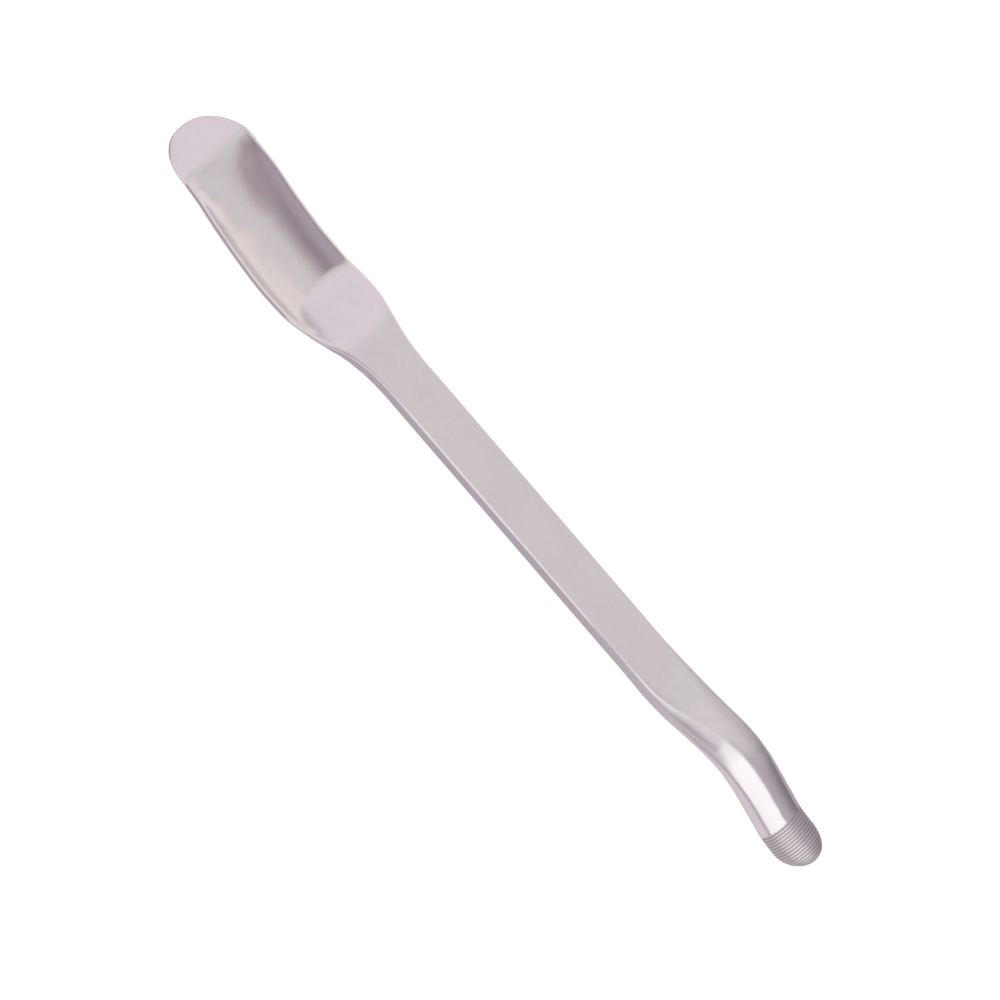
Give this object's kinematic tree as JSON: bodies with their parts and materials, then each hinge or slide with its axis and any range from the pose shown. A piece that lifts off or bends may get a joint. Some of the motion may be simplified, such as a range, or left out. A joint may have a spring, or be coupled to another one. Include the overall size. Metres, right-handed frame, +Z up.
{
  "type": "tyre lever",
  "caption": "Forged steel tyre lever with a hollowed spoon end, a flat bar shank and a cranked round tail ending in a grooved tip.",
  "frame": {"origin": "on the floor plane under the middle of the lever's length and width, with the lever lying on its back and the hollow facing up", "axes": "+X along the lever from the spoon's nose to the grooved tip, +Y across the lever, +Z up out of the hollow and off the bar's flat top face"},
  "size_m": [0.38, 0.0374, 0.0315],
  "materials": {
    "bright_steel": "satin bright plating over a ground and polished forging"
  },
  "bodies": {
    "root": {"spoon_lip": "bright_steel", "spoon_bowl": "bright_steel", "neck": "bright_steel", "shank": "bright_steel", "crank": "bright_steel", "grooved_tip": "bright_steel"}
  },
  "joints": []
}
